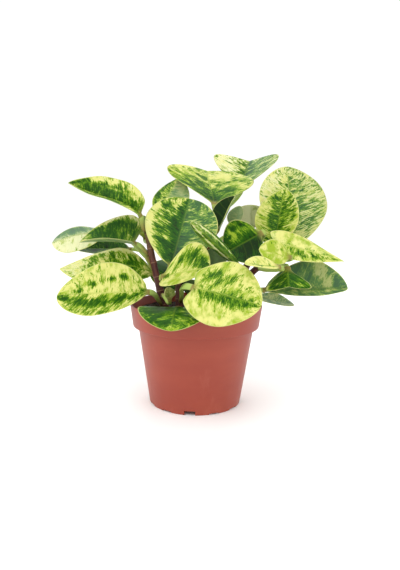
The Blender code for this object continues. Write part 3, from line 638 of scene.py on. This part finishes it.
def buildStem(name, look, bark, number):
    last = len(stemLines[name]) - 1
    line = np.array(stemLines[name], float)
    length = np.linalg.norm(np.diff(line[:, :3], axis=0), axis=1).sum()
    count = int(length / look["step"])
    angles = np.linspace(0, 2 * math.pi, look["sides"], endpoint=False)
    rings, place, wear = [], [], []
    run, before = 0.0, None
    for i in range(count + 1):
        centre, axis, radius = stemAt(name, last * i / count)
        run += 0 if before is None else np.linalg.norm(centre - before)
        before = centre
        if i == 0:
            centre, axis = centre + np.array([0, 0, look["clear"]]), np.array([0.0, 0.0, 1.0])
        jointAway = (run + 5 * number) % look["jointSpacing"] - look["firstJoint"]
        joint = np.exp(-(jointAway / look["jointReach"])**2)
        ridge = look["ridgeDepth"] * np.cos(look["ridges"] * angles + 0.05 * run)
        swell = radius + look["jointSwell"] * joint + ridge - look["inset"]
        side = unit(np.cross([0.0, 1.0, 0.0], axis))
        ring = centre + swell[:, None] * (np.outer(np.cos(angles), side)
                                          + np.outer(np.sin(angles), np.cross(axis, side)))
        rings.append(ring)
        place.append(np.stack([np.cos(angles) * radius, np.sin(angles) * radius,
                               np.full_like(angles, run + 31 * number)], 1))
        wear.append(np.stack([np.full_like(angles, run), np.full_like(angles, joint),
                              np.full_like(angles, smooth((run / length - look["youngFrom"])
                                                          / (1 - look["youngFrom"])))], 1))
    for lift, shrink in look["topRings"]:  # rounded top
        rings.append(centre + axis * radius * lift + (rings[count] - centre) * shrink)
        place.append(place[-1])
        wear.append(wear[-1])
    points = np.concatenate(rings) + np.array([0, 0, soilTop])
    piece = meshPiece(name, points, ringFaces(len(rings), look["sides"]), bark, [nodeOf(name)])
    addField(piece, "stemPlace", np.concatenate(place))
    addField(piece, "stemWear", np.concatenate(wear))


bark = stemBark(stemLook)
for number, name in enumerate(stemLines):
    buildStem(name, stemLook, bark, number)
print("stems built:", len(stemLines))


# Pot: satin terracotta-coloured plastic, turned, with notches round its foot.
potLook = dict(
    lipHeight=19.5, lipTaper=2.6, lipOverhang=4.6, footRadius=41.8, wall=1.4, floor=1.5, footHeight=4.5,
    footRing=2.0, hubRadius=10.0, edgeRound=0.8, notchWidth=9.5, notchShallow=1.3, notchDeep=4.0,
    notches=12, notchTurn=-95.5, around=180,
    colour=(150, 60, 42), warm=(157, 66, 45), dusty=(170, 88, 68), roughness=0.42)
potHeight = potHigh.z / mm
rimRadius = potHigh.x / mm
lipEdge = potHeight - potLook["lipHeight"]
wallTop = rimRadius - potLook["lipTaper"] - potLook["lipOverhang"]


def wallRadius(z):
    return potLook["footRadius"] + (wallTop - potLook["footRadius"]) * z / lipEdge


def lipRadius(z):
    return rimRadius - potLook["lipTaper"] * (potHeight - z) / potLook["lipHeight"]


def insideRadius(z):
    wall = potLook["wall"]
    low, high = lipEdge - wall, lipEdge + wall
    if z <= low:
        return wallRadius(z) - wall
    if z >= high:
        return lipRadius(z) - wall
    return wallRadius(low) - wall + (lipRadius(high) - wallRadius(low)) * (z - low) / (high - low)


def roundedProfile(corners, radius, steps=4):  # each corner (r, z) becomes a short arc
    out = []
    for i, (r, z) in enumerate(corners):
        here = np.array([r, z], float)
        if i in (0, len(corners) - 1):
            out.append(here)
            continue
        before, after = np.array(corners[i - 1], float), np.array(corners[i + 1], float)
        a, b = before - here, after - here
        cut = min(radius, np.linalg.norm(a) * 0.45, np.linalg.norm(b) * 0.45)
        start, end = here + unit(a) * cut, here + unit(b) * cut
        for k in range(steps + 1):
            t = k / steps
            out.append((1 - t)**2 * start + 2 * (1 - t) * t * here + t**2 * end)
    return out


def turnedPiece(name, profile, around, material, nodes):
    angles = np.linspace(0, 2 * math.pi, around, endpoint=False)
    points = [(0, 0, profile[0][1])]
    for r, z in profile[1:-1]:
        points += [(r * math.cos(a), r * math.sin(a), z) for a in angles]
    points.append((0, 0, profile[-1][1]))
    faces = []
    rings = len(profile) - 2
    for i in range(rings - 1):
        for j in range(around):
            k = (j + 1) % around
            a, b = 1 + i * around, 1 + (i + 1) * around
            faces.append((a + j, b + j, b + k, a + k))
    last = len(points) - 1
    for j in range(around):
        k = (j + 1) % around
        faces.append((0, 1 + j, 1 + k))
        faces.append((last, 1 + (rings - 1) * around + k, 1 + (rings - 1) * around + j))
    return meshPiece(name, points, faces, material, nodes)


def potPlastic(look):
    material, tree, shader = startMaterial("potPlastic", Roughness=look["roughness"], IOR=1.46)
    colour = {k: screenColour(*look[k]) for k in ("colour", "warm", "dusty")}
    place = addNode(tree, "TexCoord").outputs["Object"]
    flow = grain(tree, stretched(tree, place, 18, 18, 60), 1.0, 3.0, 0.5)
    speck = grain(tree, place, 900.0, 2.0, 0.6)
    dust = grain(tree, stretched(tree, place, 60, 60, 25), 1.0, 5.0, 0.65)
    height = split(tree, place)[2]
    body = mixed(tree, rising(tree, flow, 0.35, 0.7), colour["colour"], colour["warm"])
    low = maths(tree, "SUBTRACT", 1.0, rising(tree, height, 0.0, 0.012))
    wear = maths(tree, "MULTIPLY", rising(tree, maths(tree, "ADD", dust, maths(tree, "MULTIPLY", low, 0.18)),
                                          0.58, 0.80), 0.45)
    body = mixed(tree, wear, body, colour["dusty"])
    tree.links.new(body, shader.inputs["Base Color"])
    gloss = addNode(tree, "MapRange", {"Value": dust, "To Min": look["roughness"] - 0.06,
                                       "To Max": look["roughness"] + 0.12}).outputs[0]
    tree.links.new(gloss, shader.inputs["Roughness"])
    bumped(tree, shader, maths(tree, "ADD", maths(tree, "MULTIPLY", speck, 0.02),
                               maths(tree, "MULTIPLY", flow, 0.06)))
    return material


def buildPot(look):
    z0 = look["footHeight"]
    floorTop = z0 + look["floor"]
    corners = [
        (0, floorTop), (insideRadius(floorTop), floorTop),
        (insideRadius(lipEdge - look["wall"]), lipEdge - look["wall"]),
        (insideRadius(lipEdge + look["wall"]), lipEdge + look["wall"]),
        (lipRadius(potHeight) - look["wall"], potHeight), (lipRadius(potHeight), potHeight),
        (lipRadius(lipEdge), lipEdge), (wallTop, lipEdge), (look["footRadius"], 0),
        (look["footRadius"] - look["footRing"], 0), (look["footRadius"] - look["footRing"], z0),
        (look["hubRadius"], z0), (look["hubRadius"], 0), (0, 0)]
    profile = roundedProfile(corners, look["edgeRound"])
    pot = turnedPiece("nurseryPot", profile, look["around"], potPlastic(look), ["pot"])
    cutter = bmesh.new()
    through, below = 8, 4  # how far each cutting block reaches through the wall and under the foot
    for i in range(look["notches"]):
        turn = math.radians(look["notchTurn"] + i * 360 / look["notches"])
        high = look["notchDeep"] if i % 3 == 0 else look["notchShallow"]
        for vert in bmesh.ops.create_cube(cutter, size=1)["verts"]:
            x, y, z = vert.co
            r = look["footRadius"] - 1 + x * through
            y *= look["notchWidth"]
            vert.co = Vector((r * math.cos(turn) - y * math.sin(turn),
                              r * math.sin(turn) + y * math.cos(turn),
                              (z + 0.5) * (high + below) - below)) * mm
    mesh = bpy.data.meshes.new("notchCutter")
    cutter.to_mesh(mesh)
    cutter.free()
    helper = bpy.data.objects.new("notchCutter", mesh)
    bpy.context.scene.collection.objects.link(helper)
    cut = pot.modifiers.new("notches", "BOOLEAN")
    cut.operation, cut.object = "DIFFERENCE", helper
    bpy.context.view_layer.update()
    done = bpy.data.meshes.new_from_object(pot.evaluated_get(bpy.context.evaluated_depsgraph_get()))
    pot.modifiers.clear()
    pot.data = done
    bpy.data.objects.remove(helper)
    done.set_sharp_from_angle(angle=math.radians(40))


buildPot(potLook)
print("pot built")


# Potting soil: a lumpy peat surface with crumbs and short fibres lying on it.
soilLook = dict(dark=(30, 21, 16), brown=(58, 40, 28), fibre=(104, 76, 50), around=120, rings=34,
                lumps=1.3, sink=0.9, edgeDrop=0.8, clear=0.3, wallAway=3, stemAway=3.5, seed=11,
                crumbs=620, crumbSize=(0.5, 1.9), fibres=120, fibreLength=(1.6, 3.4), fibreThick=0.28)


def soilEarth(look):
    material, tree, shader = startMaterial("soilEarth", Roughness=0.92, IOR=1.35)
    colour = {k: screenColour(*look[k]) for k in ("dark", "brown", "fibre")}
    place = addNode(tree, "TexCoord").outputs["Object"]
    clods = grain(tree, place, 160.0, 5.0, 0.65)
    crumbs = grain(tree, place, 700.0, 4.0, 0.6)
    fibre = field(tree, "soilFibre")[1]
    earth = mixed(tree, rising(tree, clods, 0.40, 0.68), colour["dark"], colour["brown"])
    earth = mixed(tree, rising(tree, crumbs, 0.60, 0.72), earth, colour["fibre"])
    earth = mixed(tree, fibre, earth, colour["fibre"])
    tree.links.new(earth, shader.inputs["Base Color"])
    bumped(tree, shader, maths(tree, "ADD", clods, maths(tree, "MULTIPLY", crumbs, 0.5)))
    return material


def soilHeight(x, y):
    lump = noise.noise(Vector((x, y, 3)) * 0.11)
    clod = noise.noise(Vector((x, y, 9)) * 0.33)
    grit = noise.noise(Vector((x, y, 5)) * 0.9)
    return soilLook["lumps"] * (lump + 0.6 * clod + 0.3 * grit) - soilLook["sink"]


def buildSoil(look):
    points = []
    around, rings = look["around"], look["rings"]
    outer = insideRadius(soilTop) - look["clear"]
    angles = np.linspace(0, 2 * math.pi, around, endpoint=False)
    for i in range(1, rings + 1):
        r = outer * i / rings
        for a in angles:
            x, y = r * math.cos(a), r * math.sin(a)
            points.append((x, y, soilTop + soilHeight(x, y) - (look["edgeDrop"] if i == rings else 0)))
    floorTop = potLook["footHeight"] + potLook["floor"] + look["clear"]
    for z in (lipEdge + potLook["wall"], lipEdge - potLook["wall"] + 0.8 * look["clear"], floorTop):
        side = insideRadius(z) - look["clear"]
        points += [(side * math.cos(a), side * math.sin(a), z) for a in angles]
    faces = [tuple(reversed(f)) for f in ringFaces(rings + 3, around, closeEnds=False)]
    points += [(0, 0, soilTop + soilHeight(0, 0)), (0, 0, floorTop)]
    top, bottom = len(points) - 2, len(points) - 1
    low = (rings + 2) * around
    for j in range(around):
        k = (j + 1) % around
        faces.append((top, j, k))
        faces.append((bottom, low + k, low + j))
    fibre = [0.0] * len(points)
    draw = random.Random(look["seed"])
    feet = [(line[0][0], line[0][1], line[0][3] / 2) for line in stemLines.values()]
    for n in range(look["crumbs"] + look["fibres"]):
        isFibre = n >= look["crumbs"]
        r, a = (outer - look["wallAway"]) * math.sqrt(draw.random()), draw.uniform(0, 2 * math.pi)
        x, y = r * math.cos(a), r * math.sin(a)
        if any(math.hypot(x - fx, y - fy) < fr + look["stemAway"] for fx, fy, fr in feet):
            continue
        size = Vector((1, draw.uniform(0.6, 1), draw.uniform(0.5, 0.8))) * draw.uniform(*look["crumbSize"])
        if isFibre:
            size = Vector((draw.uniform(*look["fibreLength"]), look["fibreThick"], look["fibreThick"]))
        crumb = bmesh.new()
        bmesh.ops.create_icosphere(crumb, subdivisions=1, radius=1)
        turn = draw.uniform(0, 2 * math.pi)
        tilt = draw.uniform(-0.25, 0.25)
        first = len(points)
        for vert in crumb.verts:
            co = Vector((vert.co.x * size.x, vert.co.y * size.y, vert.co.z * size.z))
            co *= 1 + 0.35 * noise.noise(co * 1.3 + Vector((n, 0, 0)))
            px = co.x * math.cos(turn) - co.y * math.sin(turn)
            py = co.x * math.sin(turn) + co.y * math.cos(turn)
            points.append((x + px, y + py, soilTop + soilHeight(x, y) + co.z + px * tilt + size.z * 0.35))
        faces += [tuple(first + v.index for v in face.verts) for face in crumb.faces]
        fibre += [float(isFibre) * draw.uniform(0.4, 1.0)] * len(crumb.verts)
        crumb.free()
    piece = meshPiece("pottingSoil", points, faces, soilEarth(look), ["soil"])
    addField(piece, "soilFibre", fibre)


buildSoil(soilLook)
print("soil built")


# Camera, floor and soft studio light.
studio = dict(cameraPlace=(0.003, -0.5, 0.187), pitch=9.0, roll=1.0, lens=35.24, floorSize=12.0,
              floorTone=(1, 1, 1, 1), skyTone=(1, 1, 1, 1), skyStrength=1.04, lampAim=(0, 0, 0.12),
              lamps=dict(keyLamp=((-0.7, -0.75, 1.25), 1.0, 9.0),  # place, size and watts
                         fillLamp=((0.95, -0.6, 0.8), 0.9, 2.0),
                         backLamp=((0.1, 1.0, 1.1), 1.0, 5.0)))


def buildStudio(look):
    camera = bpy.data.objects.new("camera", bpy.data.cameras.new("camera"))
    bpy.context.scene.collection.objects.link(camera)
    camera.data.lens = look["lens"]
    camera.data.sensor_width = 36
    camera.data.clip_start, camera.data.clip_end = 0.01, 100
    aim = Vector((0, math.cos(math.radians(look["pitch"])), -math.sin(math.radians(look["pitch"]))))
    turn = aim.to_track_quat("-Z", "Y").to_matrix().to_4x4()
    camera.matrix_world = (Matrix.Translation(look["cameraPlace"]) @ turn
                           @ Matrix.Rotation(math.radians(look["roll"]), 4, "Z"))
    bpy.context.scene.camera = camera

    floorMesh = bpy.data.meshes.new("studioFloor")
    half = look["floorSize"] / 2
    floorMesh.from_pydata([(-half, -half, 0), (half, -half, 0), (half, half, 0), (-half, half, 0)], [],
                          [(0, 1, 2, 3)])
    floor = bpy.data.objects.new("studioFloor", floorMesh)
    bpy.context.scene.collection.objects.link(floor)
    material, tree, shader = startMaterial("studioFloor", Base_Color=look["floorTone"], Roughness=0.8)
    floorMesh.materials.append(material)

    world = bpy.data.worlds.new("studio")
    world.use_nodes = True
    sky = world.node_tree.nodes["Background"]
    sky.inputs["Color"].default_value = look["skyTone"]
    sky.inputs["Strength"].default_value = look["skyStrength"]
    bpy.context.scene.world = world
    for name, (place, size, power) in look["lamps"].items():
        data = bpy.data.lights.new(name, "AREA")
        data.shape, data.size, data.energy = "SQUARE", size, power
        lamp = bpy.data.objects.new(name, data)
        bpy.context.scene.collection.objects.link(lamp)
        lamp.location = place
        lamp.rotation_mode = "QUATERNION"
        lamp.rotation_quaternion = (Vector(look["lampAim"]) - Vector(place)).to_track_quat("-Z", "Y")
    bpy.context.scene.view_settings.view_transform = "Standard"


buildStudio(studio)
print("studio ready")
